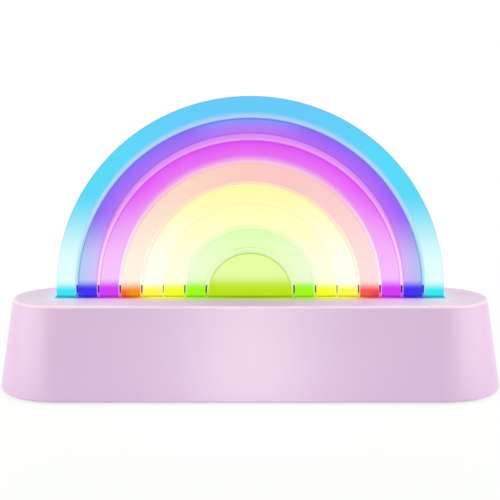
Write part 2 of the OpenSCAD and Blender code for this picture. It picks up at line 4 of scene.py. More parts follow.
import bmesh
import bpy
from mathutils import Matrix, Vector


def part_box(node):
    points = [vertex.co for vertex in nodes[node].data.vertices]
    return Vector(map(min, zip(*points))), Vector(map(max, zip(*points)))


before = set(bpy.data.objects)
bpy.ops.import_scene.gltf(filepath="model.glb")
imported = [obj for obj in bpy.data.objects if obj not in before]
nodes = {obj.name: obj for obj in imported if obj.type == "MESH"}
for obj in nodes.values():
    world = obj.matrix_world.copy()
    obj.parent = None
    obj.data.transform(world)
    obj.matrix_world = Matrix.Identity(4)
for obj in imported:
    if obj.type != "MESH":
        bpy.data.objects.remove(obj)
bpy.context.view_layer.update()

# Places on the lamp, in metres, taken from its pieces
DECK_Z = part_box("base_shell")[1][2]
ARCH_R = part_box("sky_arc")[1][0]
ARCH_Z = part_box("sky_arc")[1][2] - ARCH_R
PITCH = ARCH_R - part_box("violet_arc")[1][0]
DISC_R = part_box("lime_half_disc")[1][0]
BOARD_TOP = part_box("control_board")[1][2]
LED_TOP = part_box("leds")[1][2]
CELL_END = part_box("battery_cell")[1][0]
SOCKET_Z = (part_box("usb_socket")[0][2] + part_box("usb_socket")[1][2]) / 2

ARC_COUNT = 7

# Sizes that no box gives, in metres, as in the part's source: the gap between two arcs, the width of an arc's
# band, the height of the half disc's axis, and how far the sides of the deck's slot lie from its middle
SLOT = 0.0015
BAND = PITCH - SLOT
CORE_Z = DECK_Z + 0.0010
DECK_SLOT_Y = 0.0027

# Shares of the arch's radius, from the half disc outwards: where each band starts, and its middle
BAND_STARTS = [0.0] + [(DISC_R + SLOT / 2 + i * PITCH) / ARCH_R for i in range(ARC_COUNT)]
BAND_MIDDLES = [0.0] + [(DISC_R + SLOT + BAND / 2 + i * PITCH) / ARCH_R for i in range(ARC_COUNT)]

# Colours that more than one material uses
WHITE = (1.0, 1.0, 1.0, 1.0)
BLACK = (0.0, 0.0, 0.0, 1.0)
STEEL = "c8cace"
PAD_METAL = (0.55, 0.56, 0.58, 1.0)

# Fine texture: repeats in a metre, and depth of a bump in metres
FINE_GRAIN = 2600.0
COARSE_GRAIN = 1500.0
RUBBER_GRAIN = 1800.0
BOARD_GRAIN = 900.0
SLOW_DRIFT = 22.0
GRAIN_DEPTH = 0.00001
COARSE_DEPTH = 0.00003
RUBBER_DEPTH = 0.00004
TRACK_DEPTH = 0.00004
DRAW_DEPTH = 0.000004


def tint(code):
    """A colour written as six hexadecimal digits, as the linear colour that the nodes work in."""
    parts = [int(code[i:i + 2], 16) / 255 for i in (0, 2, 4)]
    return tuple(p / 12.92 if p <= 0.04045 else ((p + 0.055) / 1.055) ** 2.4 for p in parts) + (1.0,)


# Node helpers
class Sheet:
    """Adds nodes to one tree, and wires what each is given."""

    def __init__(self, tree):
        self.tree = tree

    def feed(self, socket, value):
        """Wires a socket to another, or sets its value."""
        if isinstance(value, bpy.types.NodeSocket):
            self.tree.links.new(value, socket)
        else:
            socket.default_value = value

    def add(self, kind, **values):
        """A node with its inputs, or its own settings, given by name."""
        node = self.tree.nodes.new(kind)
        for key, value in values.items():
            label = key.replace("_", " ").title()
            if label in node.inputs:
                self.feed(node.inputs[label], value)
            else:
                setattr(node, key, value)
        return node

    def place(self):
        """The point's place on the piece, in metres."""
        return self.add("ShaderNodeTexCoord").outputs["Object"]

    def axes(self):
        """The point's X, Y and Z."""
        return self.add("ShaderNodeSeparateXYZ", vector=self.place()).outputs

    def maths(self, operation, *values, clamp=False):
        node = self.add("ShaderNodeMath", operation=operation, use_clamp=clamp)
        for socket, value in zip(node.inputs, values):
            self.feed(socket, value)
        return node.outputs[0]

    def plus(self, a, b):
        return self.maths("ADD", a, b)

    def minus(self, a, b):
        return self.maths("SUBTRACT", a, b)

    def times(self, a, b):
        return self.maths("MULTIPLY", a, b)

    def over(self, a, b, clamp=False):
        return self.maths("DIVIDE", a, b, clamp=clamp)

    def larger(self, a, b):
        return self.maths("MAXIMUM", a, b)

    def size(self, value):
        """A value without its sign."""
        return self.maths("ABSOLUTE", value)

    def line(self, value, slope, start):
        """start, plus slope for each unit of the value."""
        return self.maths("MULTIPLY_ADD", value, slope, start)

    def rest(self, share):
        """What a share leaves of 1."""
        return self.minus(1.0, share)

    def step(self, value, low, high):
        """0 below low, 1 above high, smooth between them."""
        node = self.add("ShaderNodeMapRange", interpolation_type="SMOOTHSTEP", value=value)
        self.feed(node.inputs["From Min"], low)
        self.feed(node.inputs["From Max"], high)
        return node.outputs["Result"]

    def fade(self, value, low, high):
        """1 below low, 0 above high, smooth between them."""
        return self.rest(self.step(value, low, high))

    def between(self, value, low, high, soft=0.00005):
        """1 between low and high, 0 outside, each end softened to both sides."""
        past_low = self.step(value, low - soft, low + soft)
        return self.times(past_low, self.fade(value, high - soft, high + soft))

    def mix(self, amount, a, b, blend="MIX"):
        """Two colours mixed."""
        node = self.add("ShaderNodeMix", data_type="RGBA", blend_type=blend)
        for socket, value in zip((socket for socket in node.inputs if socket.enabled), (amount, a, b)):
            self.feed(socket, value)
        return next(socket for socket in node.outputs if socket.enabled)

    def product(self, a, b):
        """Two colours multiplied."""
        return self.mix(1.0, a, b, "MULTIPLY")

    def shade(self, colour, factor):
        """A colour made darker or lighter by a value."""
        grey = self.add("ShaderNodeCombineColor", red=factor, green=factor, blue=factor).outputs[0]
        return self.product(colour, grey)

    def ramp(self, value, places, codes, how="CONSTANT"):
        """A colour for each stretch of the value, or reached at each place where how is LINEAR."""
        node = self.add("ShaderNodeValToRGB")
        node.color_ramp.interpolation = how
        points = node.color_ramp.elements
        while len(points) < len(codes):
            points.new(1.0)
        for point, position, code in zip(points, places, codes):
            point.position = position
            point.color = tint(code)
        self.feed(node.inputs[0], value)
        return node.outputs[0]

    def noise(self, where, scale, detail=2.0, rough=0.5):
        node = self.add("ShaderNodeTexNoise", vector=where, scale=scale, detail=detail, roughness=rough)
        return node.outputs["Fac"]

    def blend(self, amount, a, b):
        """Two shaders mixed."""
        node = self.add("ShaderNodeMixShader")
        for socket, value in zip(node.inputs, (amount, a, b)):
            self.feed(socket, value)
        return node.outputs[0]

    def seen(self):
        """1 for what the camera sees, straight, reflected or through something clear."""
        path = self.add("ShaderNodeLightPath").outputs
        not_straight = self.larger(path["Is Glossy Ray"], path["Is Transmission Ray"])
        return self.larger(path["Is Camera Ray"], not_straight)


def group(name, colours=(), values=(), out_colours=(), out_values=()):
    """A node group with named sockets: returns its sheet, its inputs and the sockets of its output."""
    tree = bpy.data.node_groups.new(name, "ShaderNodeTree")
    for way, labels, kind in (("INPUT", colours, "Color"), ("INPUT", values, "Float"),
                              ("OUTPUT", out_colours, "Color"), ("OUTPUT", out_values, "Float")):
        for label in labels:
            tree.interface.new_socket(label, in_out=way, socket_type="NodeSocket" + kind)
    given = tree.nodes.new("NodeGroupInput").outputs
    out = tree.nodes.new("NodeGroupOutput").inputs
    return Sheet(tree), given, out


def use(s, name, **values):
    """Places a group in a sheet, with its own values, and returns its outputs."""
    node = s.add("ShaderNodeGroup", node_tree=bpy.data.node_groups[name])
    for key, value in values.items():
        s.feed(node.inputs[key.replace("_", " ")], value)
    return node.outputs


# Effects that materials share

# How far to either side of the middle the left leg's colours turn into the right leg's, in metres
SIDE_BLEND = 0.03


def make_arch_place():
    """Where a point lies: its distance from an axis at a given height, its height above the deck, how far it
    has turned from the legs (0) to the crown (1), and its side."""
    s, given, out = group("Arch place", values=("Axis",), out_values=("Radius", "Height", "Turn", "Right"))
    x, _, z = s.axes()
    rise = s.larger(s.minus(z, given["Axis"]), 0.0)
    radius = s.maths("SQRT", s.plus(s.times(x, x), s.times(rise, rise)))
    s.feed(out["Radius"], radius)
    s.feed(out["Turn"], s.over(rise, radius))
    s.feed(out["Height"], s.minus(z, DECK_Z))
    s.feed(out["Right"], s.step(x, -SIDE_BLEND, SIDE_BLEND))


# What the arc light is given
ARC_COLOURS = ("Foot left", "Foot right", "Haze left", "Haze right", "Body inner", "Body outer",
               "Crown inner", "Crown outer", "Edge", "Low edge", "Lip", "Right tint", "Foot shade",
               "Haze tint")
ARC_VALUES = ("Fade start", "Fade end", "Haze start", "Haze end", "Crown start", "Lip width", "Lip core",
              "Axis", "Inner radius", "Outer radius")

# Painted shade along an arc's outer edge, a darker line: metres in from the edge, strength, and heights over
# which its colour turns
EDGE_SHADE_SPAN = (0.00005, 0.0009)
EDGE_SHADE_SHARE = 0.85
EDGE_SHADE_RISE = (0.012, 0.055)

# Shade at the foot: shares of the band's width, and heights
FOOT_SHADE_ACROSS = (0.35, 1.0)
FOOT_SHADE_RISE = (0.0015, 0.0055)

# Lip along the inner edge: height at which it has its full width, strength, and the dark seam where it ends
LIP_RISE = 0.090
LIP_SHARE = 0.8
SEAM_WIDTH = 0.0006
SEAM_DARK = 0.25

# Painted contact shade, a dark line where an arc meets the deck: heights, and the light that is left
CONTACT_SHADE_RISE = (0.0002, 0.0009)
CONTACT_LIGHT = 0.5


def make_arc_light():
    """The light that one arc carries: deep at its foot, pale just above, full again towards its crown, with
    painted shade along its outer edge and where it meets the deck.
    """
    s, given, out = group("Arc light", ARC_COLOURS, ARC_VALUES, out_colours=("Light",))
    where = use(s, "Arch place", Axis=given["Axis"])
    height = where["Height"]
    right = where["Right"]
    from_inner = s.minus(where["Radius"], given["Inner radius"])
    from_outer = s.minus(given["Outer radius"], where["Radius"])
    across = s.over(from_inner, s.minus(given["Outer radius"], given["Inner radius"]), clamp=True)

    haze = s.mix(right, given["Haze left"], given["Haze right"])
    haze = s.mix(across, haze, s.product(haze, given["Haze tint"]))
    body = s.mix(across, given["Body inner"], given["Body outer"])
    crown = s.mix(s.times(across, across), given["Crown inner"], given["Crown outer"])
    full = s.mix(s.step(where["Turn"], given["Crown start"], 1.0), body, crown)
    full = s.mix(right, full, s.product(full, given["Right tint"]))
    light = s.mix(s.step(height, given["Haze start"], given["Haze end"]), haze, full)

    # Painted shade: a darker line along the outer edge, its colour turning with height
    edge = s.mix(s.step(height, *EDGE_SHADE_RISE), given["Low edge"], given["Edge"])
    light = s.mix(s.times(s.fade(from_outer, *EDGE_SHADE_SPAN), EDGE_SHADE_SHARE), light, edge)

    foot = s.mix(right, given["Foot left"], given["Foot right"])
    deep = s.times(s.step(across, *FOOT_SHADE_ACROSS), s.fade(height, *FOOT_SHADE_RISE))
    foot = s.mix(deep, foot, s.product(foot, given["Foot shade"]))
    light = s.mix(s.step(height, given["Fade start"], given["Fade end"]), foot, light)

    reach = s.times(given["Lip width"], s.over(height, LIP_RISE, clamp=True))
    outward = s.step(from_inner, s.times(reach, given["Lip core"]), reach)
    light = s.mix(s.times(s.rest(outward), LIP_SHARE), light, given["Lip"])
    seam = s.times(outward, s.fade(s.minus(from_inner, reach), 0.0, SEAM_WIDTH))
    seam = s.line(s.times(seam, given["Lip core"]), -SEAM_DARK, 1.0)
    # Painted contact shade: darker just above the deck
    contact = s.line(s.step(height, *CONTACT_SHADE_RISE), 1.0 - CONTACT_LIGHT, CONTACT_LIGHT)
    s.feed(out["Light"], s.shade(light, s.times(contact, seam)))


def make_moulded_grain():
    """Fine spark texture of a mould, and a slow drift of colour over the piece."""
    s, given, out = group("Moulded grain", ("Colour",), ("Grain", "Mottle", "Gloss low", "Gloss high"),
                          ("Colour",), ("Roughness", "Height"))
    where = s.place()
    fine = s.noise(where, given["Grain"], detail=3.0, rough=0.6)
    drift = s.minus(s.noise(where, SLOW_DRIFT), 0.5)
    span = s.minus(given["Gloss high"], given["Gloss low"])
    s.feed(out["Colour"], s.shade(given["Colour"], s.plus(1.0, s.times(drift, given["Mottle"]))))
    s.feed(out["Roughness"], s.plus(given["Gloss low"], s.times(fine, span)))
    s.feed(out["Height"], fine)


DRAW_STRETCH = (0.08, 1.0, 1.0)


def make_drawn_metal():
    """Fine draw lines along X in plated steel, which vary its brightness and gloss."""
    s, given, out = group("Drawn metal", ("Colour",), ("Lines",), ("Colour",), ("Roughness", "Height"))
    stretched = s.add("ShaderNodeMapping", vector=s.place(), scale=DRAW_STRETCH).outputs[0]
    lines = s.noise(stretched, given["Lines"], detail=4.0, rough=0.7)
    s.feed(out["Colour"], s.shade(given["Colour"], s.line(lines, slope=0.30, start=0.85)))
    s.feed(out["Roughness"], s.line(lines, slope=0.25, start=0.18))
    s.feed(out["Height"], lines)


# Tracks on a board: pitches in a block, half widths in pitches, and the draws above which a cell has a track
# or a pad
TRACK_BLOCK = 5.0
TRACK_HALF = (0.16, 0.20)
PAD_HALF = (0.26, 0.32)
TRACK_CHANCE = (0.35, 0.36)
PAD_CHANCE = (0.75, 0.76)


def make_board_tracks():
    """Tracks under solder mask: lanes along X that stop and start, and tinned pads in a grid."""
    s, given, out = group("Board tracks", ("Mask", "Track"), ("Pitch",),
                          ("Colour",), ("Pad", "Roughness", "Height"))
    x, y, _ = s.axes()
    lane = s.over(y, given["Pitch"])
    block = s.over(x, s.times(given["Pitch"], TRACK_BLOCK))
    cell = s.add("ShaderNodeCombineXYZ", x=s.maths("FLOOR", block), y=s.maths("FLOOR", lane)).outputs[0]
    chance = s.add("ShaderNodeTexWhiteNoise", vector=cell).outputs["Value"]
    off_lane = s.size(s.minus(s.maths("FRACT", lane), 0.5))
    off_block = s.times(s.size(s.minus(s.maths("FRACT", block), 0.5)), TRACK_BLOCK)
    away = s.maths("SQRT", s.plus(s.times(off_lane, off_lane), s.times(off_block, off_block)))
    track = s.times(s.fade(off_lane, *TRACK_HALF), s.step(chance, *TRACK_CHANCE))
    pad = s.times(s.fade(away, *PAD_HALF), s.step(chance, *PAD_CHANCE))
    s.feed(out["Colour"], s.mix(pad, s.mix(track, given["Mask"], given["Track"]), PAD_METAL))
    s.feed(out["Pad"], pad)
    s.feed(out["Roughness"], s.line(s.noise(s.place(), BOARD_GRAIN), slope=0.15, start=0.24))
    s.feed(out["Height"], s.larger(track, pad))


make_arch_place()
make_arc_light()
make_moulded_grain()
make_drawn_metal()
make_board_tracks()


# Materials
def material(name):
    """A new material: returns it, its sheet and its Principled shader."""
    made = bpy.data.materials.new(name)
    made.use_nodes = True
    return made, Sheet(made.node_tree), made.node_tree.nodes["Principled BSDF"]


def surface(s, shader, colour, roughness, height, depth):
    """Gives a shader its colour, its roughness and a bump of a depth in metres."""
    bump = s.add("ShaderNodeBump", height=height, distance=depth, strength=1.0)
    s.feed(shader.inputs["Base Color"], colour)
    s.feed(shader.inputs["Roughness"], roughness)
    s.feed(shader.inputs["Normal"], bump.outputs["Normal"])


def dress(made, *pieces):
    """Gives CAD nodes a material."""
    for piece in pieces:
        slots = nodes[piece].data.materials
        slots.clear()
        slots.append(made)


def moulded(name, colour, low, high, grain=FINE_GRAIN, depth=GRAIN_DEPTH, mottle=0.04, specular=0.5):
    """Moulded plastic or rubber, its roughness from low to high."""
    made, s, shader = material(name)
    skin = use(s, "Moulded grain", Colour=tint(colour), Grain=grain, Mottle=mottle, Gloss_low=low,
               Gloss_high=high)
    surface(s, shader, skin["Colour"], skin["Roughness"], skin["Height"], depth)
    shader.inputs["Specular IOR Level"].default_value = specular
    return made


def plated(name, colour, lines):
    """Plated steel with its draw lines a metre."""
    made, s, shader = material(name)
    metal = use(s, "Drawn metal", Colour=tint(colour), Lines=lines)
    surface(s, shader, metal["Colour"], metal["Roughness"], metal["Height"], DRAW_DEPTH)
    shader.inputs["Metallic"].default_value = 1.0
    return made


def laminate(name, mask, track, pitch):
    """Board under solder mask, with raised tracks in broken lanes and tinned pads in a grid."""
    made, s, shader = material(name)
    board = use(s, "Board tracks", Mask=tint(mask), Track=tint(track), Pitch=pitch)
    surface(s, shader, board["Colour"], board["Roughness"], board["Height"], TRACK_DEPTH)
    s.feed(shader.inputs["Metallic"], board["Pad"])
    return made


# Clear acrylic: the share of its colour that is its own light, its roughness and how it reflects
GLOW = 0.88
ACRYLIC_ROUGHNESS = 0.16
ACRYLIC_IOR = 1.49
ACRYLIC_SPECULAR = 0.2


def light_up(s, shader, light):
    """Clear acrylic lit from within. What isn't its own light answers the room's."""
    answer = (1.0 - GLOW, 1.0 - GLOW, 1.0 - GLOW, 1.0)
    s.feed(shader.inputs["Base Color"], s.product(light, answer))
    s.feed(shader.inputs["Emission Color"], light)
    shader.inputs["Emission Strength"].default_value = GLOW
    shader.inputs["Roughness"].default_value = ACRYLIC_ROUGHNESS
    shader.inputs["IOR"].default_value = ACRYLIC_IOR
    shader.inputs["Specular IOR Level"].default_value = ACRYLIC_SPECULAR


class Arc(NamedTuple):
    """The light of one arc. foot and haze are for the left and right leg, body and crown for the inner and
    outer side. Where both are alike, one is given. lip_width, fade and haze_span are in metres, the last two
    above the deck. right, foot_shade and haze_tint multiply red, green and blue."""
    node: str
    foot: tuple
    haze: tuple
    body: tuple
    crown: tuple
    edge: str
    low_edge: str
    lip: str
    lip_width: float
    lip_core: float = 0.0
    fade: tuple = (0.0030, 0.0090)
    haze_span: tuple = (0.013, 0.062)
    crown_start: float = 0.80
    right: tuple = WHITE
    foot_shade: tuple = WHITE
    haze_tint: tuple = WHITE


# From the outside in. edge and low_edge are the colours of the painted shade along each arc's outer edge
ARCS = (
    Arc("sky_arc", foot=("34e8f8",), haze=("e2feff",), body=("56d8fa",), crown=("64cafc",),
        edge="74bcda", low_edge="c4f0fc", lip="b6cefc", lip_width=0.0024,
        foot_shade=(0.8, 0.96, 1.0, 1.0), haze_span=(0.015, 0.058), crown_start=0.70),
    Arc("violet_arc", foot=("3c2cf2",), haze=("d8c2fe", "dcb2fb"), body=("b872f8", "8868fa"),
        crown=("be70f8", "6ea0fe"), edge="5670cc", low_edge="3f86ac", lip="e094f8", lip_width=0.0028,
        lip_core=0.6, fade=(0.0042, 0.0100), haze_span=(0.017, 0.048), crown_start=0.93,
        right=(1.12, 0.86, 1.0, 1.0), foot_shade=(1.0, 1.5, 1.0, 1.0), haze_tint=(0.62, 1.13, 0.92, 1.0)),
    Arc("magenta_arc", foot=("d436fa",), haze=("f6c4fc", "f8baff"), body=("ec82f4", "e650fc"),
        crown=("e86ef6", "dc46f6"), edge="ac4cdc", low_edge="d88ae6", lip="f2b0e8", lip_width=0.0040,
        fade=(0.0044, 0.0106)),
    Arc("pink_arc", foot=("f69012", "f85648"), haze=("fff2e2", "ffdee0"), body=("fcd8c7",), crown=("fdd0c1",),
        edge="efb4c2", low_edge="f8dcd8", lip="fff0dc", lip_width=0.0006, fade=(0.0030, 0.0092),
        right=(1.0, 0.87, 1.07, 1.0), foot_shade=(0.95, 0.35, 1.2, 1.0)),
    Arc("yellow_arc", foot=("fdfa48",), haze=("fffff4",), body=("fefaac",), crown=("fefaaa",),
        edge="f6e8b4", low_edge="fff8e0", lip="feffc8", lip_width=0.0006, lip_core=0.5,
        fade=(0.0030, 0.0084)),
    Arc("lemon_arc", foot=("f7fe22",), haze=("feffe2",), body=("fbfca8",), crown=("fafca8",),
        edge="f4f2a4", low_edge="fbfbd4", lip="f4ffb4", lip_width=0.0008, lip_core=0.5,
        fade=(0.0036, 0.0096)),
    Arc("green_arc", foot=("a2fb10",), haze=("ebfdc4",), body=("b8f66a",), crown=("b8f66a",),
        edge="c6e68c", low_edge="dcf2c0", lip="bcd884", lip_width=0.0020, fade=(0.0046, 0.0102),
        haze_tint=(1.03, 1.0, 1.3, 1.0)),
    Arc("lime_half_disc", foot=("bce400",), haze=("e2fa9e",), body=("dcf8a8",), crown=("dcf8a8",),
        edge="7c9c3a", low_edge="a4c458", lip="e0f8b0", lip_width=0.0001, fade=(0.0052, 0.0126)),
)


def arc_acrylic(arc, inner, outer, axis):
    """Acrylic that glows with the light of one arc, between two radii about an axis at a height."""
    made, s, shader = material(arc.node.replace("_", " ").capitalize() + " acrylic")
    light = use(
        s, "Arc light",
        Foot_left=tint(arc.foot[0]), Foot_right=tint(arc.foot[-1]),
        Haze_left=tint(arc.haze[0]), Haze_right=tint(arc.haze[-1]),
        Body_inner=tint(arc.body[0]), Body_outer=tint(arc.body[-1]),
        Crown_inner=tint(arc.crown[0]), Crown_outer=tint(arc.crown[-1]),
        Edge=tint(arc.edge), Low_edge=tint(arc.low_edge), Lip=tint(arc.lip),
        Right_tint=arc.right, Foot_shade=arc.foot_shade, Haze_tint=arc.haze_tint,
        Fade_start=arc.fade[0], Fade_end=arc.fade[1], Haze_start=arc.haze_span[0], Haze_end=arc.haze_span[1],
        Crown_start=arc.crown_start, Lip_width=arc.lip_width, Lip_core=arc.lip_core,
        Axis=axis, Inner_radius=inner, Outer_radius=outer)
    light_up(s, shader, light["Light"])
    return made


for index, arc in enumerate(ARCS[:-1]):
    outer = ARCH_R - index * PITCH
    dress(arc_acrylic(arc, outer - BAND, outer, ARCH_Z), arc.node)
dress(arc_acrylic(ARCS[-1], 0.0, DISC_R, CORE_Z), ARCS[-1].node)

# Colours of the gaps between the arcs, from the half disc outwards: a light line and the painted shade at its
# inner side, each high up and low down, and the painted shade at the foot, a dark tick where the slot shows
# only shade
GAP_LINE = ("dcf8a0", "e8fb9c", "fafba8", "fce4b8", "fac4e4", "f69cfa", "b4d2fe")
GAP_SHADE = ("dcf8a0", "e8fb9c", "fafba8", "fce4b8", "fac4de", "dc74ee", "7098dc")
LOW_GAP_LINE = ("ecfdd0", "f6fee0", "fffff0", "fff6e8", "fff2fa", "ffe2ff", "a8e0f4")
LOW_GAP_SHADE = ("e6f8c8", "f4fcd8", "fffff0", "fff6e8", "fce2f6", "f0bcfa", "5c9cc4")
GAP_TICK_SHADE = ("3c5a00", "687800", "b4b440", "8a5a00", "601040", "3c0060", "0a2a9a")

# Heights above the deck at which the plate's colours change, in metres
PLATE_FOOT_RISE = (0.0040, 0.0086)
PLATE_HAZE_RISE = (0.014, 0.060)
GAP_RISE = (0.010, 0.060)
TICK_SHADE_RISE = (0.0052, 0.0062)

# Shares of a gap's width, from its inner side, over which its painted shade gives way and its painted dark
# tick begins
SHADE_ACROSS = (0.10, 0.45)
TICK_SHADE_ACROSS = (0.35, 0.50)

# How soft the outer side of a gap and the edge of the half disc are, in metres
GAP_SOFT = 0.0002
DISC_SOFT = 0.0001


def plate_acrylic():
    """The clear plate carries the light of the arcs bonded to it, and lighter lines in their gaps, with
    painted shade at each gap's inner side and a painted dark tick at its foot.
    """
    made, s, shader = material("Back plate acrylic")
    where = use(s, "Arch place", Axis=ARCH_Z)
    radius = where["Radius"]
    height = where["Height"]
    share = s.over(radius, ARCH_R)
    past = s.maths("MODULO", s.minus(radius, DISC_R), PITCH)
    across = s.over(s.minus(past, SLOT), BAND, clamp=True)

    outwards = ARCS[::-1]
    foot = s.ramp(share, BAND_STARTS, [arc.foot[-1] for arc in outwards])
    haze = s.ramp(share, BAND_STARTS, [arc.haze[0] for arc in outwards])
    inner = s.ramp(share, BAND_STARTS, [arc.body[0] for arc in outwards])
    outer = s.ramp(share, BAND_STARTS, [arc.body[-1] for arc in outwards])
    light = s.mix(s.step(height, *PLATE_HAZE_RISE), haze, s.mix(across, inner, outer))
    light = s.mix(s.step(height, *PLATE_FOOT_RISE), foot, light)

    rise = s.step(height, *GAP_RISE)
    line = s.mix(rise, s.ramp(share, BAND_MIDDLES, LOW_GAP_LINE), s.ramp(share, BAND_MIDDLES, GAP_LINE))
    shade = s.mix(rise, s.ramp(share, BAND_MIDDLES, LOW_GAP_SHADE), s.ramp(share, BAND_MIDDLES, GAP_SHADE))
    # Painted shade at the inner side of each gap
    line = s.mix(s.step(past, *(part * SLOT for part in SHADE_ACROSS)), shade, line)

    # The first gap is about the half disc's own axis, which lies lower than the arcs'
    core = use(s, "Arch place", Axis=CORE_Z)
    first = s.times(s.fade(radius, DISC_R + SLOT, DISC_R + SLOT + GAP_SOFT),
                    s.step(core["Radius"], DISC_R - DISC_SOFT, DISC_R))
    gap = s.times(s.fade(past, SLOT, SLOT + GAP_SOFT), s.step(radius, DISC_R + SLOT, DISC_R + BAND))
    gap = s.larger(gap, first)
    # Painted shade: a dark tick low in each gap, where the slot shows only shade
    tick_shade = s.times(s.fade(height, *TICK_SHADE_RISE), s.step(past, *(part * SLOT for part in TICK_SHADE_ACROSS)))
    light = s.mix(gap, light, line)
    light = s.mix(s.times(gap, tick_shade), light, s.ramp(share, BAND_MIDDLES, GAP_TICK_SHADE))
    light_up(s, shader, light)
    return made


dress(plate_acrylic(), "back_plate")

# Painted light and shade that the feet throw on the deck, from the half disc outwards: a dark contact shade
# tinted by their glow at the slot, a pool of their light near it, and a wash of their light and shade further
# off
PAINTED_FOOT_SHADE = ("8ca41c", "a4dc3c", "f0ec58", "f2e660", "c83c28", "a42cc8", "1a08a8", "3894b0")
PAINTED_FOOT_LIGHT = ("d2c6a4", "c2d098", "d8cc90", "e2cc98", "ffbcc0", "ffb8ff", "e4c8ff", "cce4fc")
PAINTED_FOOT_WASH = ("cda0df", "d4aadf", "d2ade5", "d3b1e4", "dcc4ec", "eacfe7", "eccae3", "eac6dc")

# Distances from the slot over which the first two fade, and heights and radii about their ends, in metres
DEEP_SPAN = (0.0025, 0.0070)
PALE_SPAN = (0.0070, 0.0150)
DECK_RISE = (DECK_Z - 0.0012, DECK_Z - 0.0004)
DEEP_END = (ARCH_R - 0.0005, ARCH_R + 0.0010)
PALE_END = (ARCH_R - 0.0040, ARCH_R + 0.0090)

# The rounded rim: heights between which it has a painted highlight, how strong it is, and its extra gloss
RIM_RISE = (DECK_Z - 0.0019, DECK_Z - 0.0009)
RIM_TOP = (DECK_Z - 0.0003, DECK_Z)
RIM_HIGHLIGHT_SHARE = 0.5
RIM_GLOSS = 0.08


def shell_plastic():
    """Satin lilac plastic, with a painted highlight on the rounded rim, a paler painted deck top, and painted
    light and shade where the feet of the arcs meet the deck.
    """
    made, s, shader = material("Lilac satin plastic")
    skin = use(s, "Moulded grain", Colour=tint("dab2e7"), Grain=FINE_GRAIN, Mottle=0.02, Gloss_low=0.30,
               Gloss_high=0.42)
    x, y, z = s.axes()
    side = s.size(x)
    share = s.over(side, ARCH_R)
    from_slot = s.minus(s.size(y), DECK_SLOT_Y)
    deck = s.step(z, *DECK_RISE)
    lit = s.times(deck, s.fade(side, *DEEP_END))
    washed = s.times(deck, s.fade(side, *PALE_END))
    wash = s.ramp(share, BAND_MIDDLES, PAINTED_FOOT_WASH, "LINEAR")
    pale = s.ramp(share, BAND_MIDDLES, PAINTED_FOOT_LIGHT, "LINEAR")
    deep = s.ramp(share, BAND_MIDDLES, PAINTED_FOOT_SHADE, "LINEAR")

    # Painted light: the deck's top paler and greyer than the walls
    colour = s.mix(deck, skin["Colour"], tint("dfbde1"))
    # Painted light and shade of the arcs' feet on the deck: a wash further off, a pool of light nearer, and a
    # dark contact shade at the slot
    colour = s.mix(washed, colour, wash)
    colour = s.mix(s.times(washed, s.fade(from_slot, *PALE_SPAN)), colour, pale)
    colour = s.mix(s.times(lit, s.fade(from_slot, *DEEP_SPAN)), colour, deep)
    # The rounded rim: a painted highlight in its colour, and lower roughness
    rim = s.times(s.step(z, *RIM_RISE), s.fade(z, *RIM_TOP))
    colour = s.mix(s.times(rim, RIM_HIGHLIGHT_SHARE), colour, tint("f6d4f4"))
    surface(s, shader, colour, s.line(rim, -RIM_GLOSS, skin["Roughness"]), skin["Height"], GRAIN_DEPTH)
    return made


dress(shell_plastic(), "base_shell")

# Painted light in the lips between the legs, a glow in the colours of the arcs beside them, from the half
# disc outwards: the share of it that is its own, and the heights over which it begins
LIP_PAINTED_LIGHT = ("b0dc3c", "ccec50", "f0ee60", "f4c860", "f07cb8", "c868fc", "7088f4")
LIP_PAINTED_GLOW = 0.6
LIP_EDGE = (DECK_Z - 0.0010, DECK_Z + 0.0002)


def holder_plastic():
    """White plastic whose lips, in the gaps between the legs, glow with painted light from the arcs beside
    them.
    """
    made, s, shader = material("White holder plastic")
    skin = use(s, "Moulded grain", Colour=tint("f6f2f4"), Grain=FINE_GRAIN, Mottle=0.04, Gloss_low=0.30,
               Gloss_high=0.45)
    x, _, z = s.axes()
    # Painted light: the lips glow with the arcs' colours though the holder is no lamp
    lit = s.step(z, *LIP_EDGE)
    lip = s.ramp(s.over(s.size(x), ARCH_R), BAND_MIDDLES, LIP_PAINTED_LIGHT)
    colour = s.mix(lit, skin["Colour"], s.mix(LIP_PAINTED_GLOW, lip, BLACK))
    surface(s, shader, colour, skin["Roughness"], skin["Height"], GRAIN_DEPTH)
    s.feed(shader.inputs["Emission Color"], s.mix(lit, BLACK, lip))
    shader.inputs["Emission Strength"].default_value = LIP_PAINTED_GLOW
    return made


dress(holder_plastic(), "arc_holder")

dress(moulded("Lilac cover plastic", "d9c0d8", 0.5, 0.7, COARSE_GRAIN, COARSE_DEPTH), "bottom_cover")
dress(moulded("White control plastic", "f0e6fa", 0.28, 0.38), "mode_button", "power_slider", "push_plunger")
dress(moulded("Grey foot rubber", "8d8790", 0.75, 0.95, RUBBER_GRAIN, RUBBER_DEPTH, specular=0.3),
      "foot_front_left", "foot_front_right", "foot_rear_left", "foot_rear_right")
dress(moulded("Black nylon", "2a2c2f", 0.4, 0.6), "push_switch", "switch_lever", "battery_tray")
dress(moulded("Ivory nylon", "efe8d2", 0.4, 0.55), "led_connectors", "battery_connector")
dress(plated("Zinc plated screws", "cdcfd4", lines=900.0),
      "cover_screws", "holder_screws", "board_screws", "battery_screws")
dress(plated("Tinned steel", "c6c8cc", lines=1200.0), "battery_contacts", "slide_switch")
dress(laminate("White board laminate", "eef0ea", "dfe3da", pitch=0.0016), "led_board")
dress(laminate("Green board laminate", "1a6646", "2c8a5e", pitch=0.0012), "control_board")


class Area(NamedTuple):
    """Part of a piece: a mask from the sheet and the point's place, a colour, and whether it is metal."""
    mask: object
    colour: str
    metal: bool = False


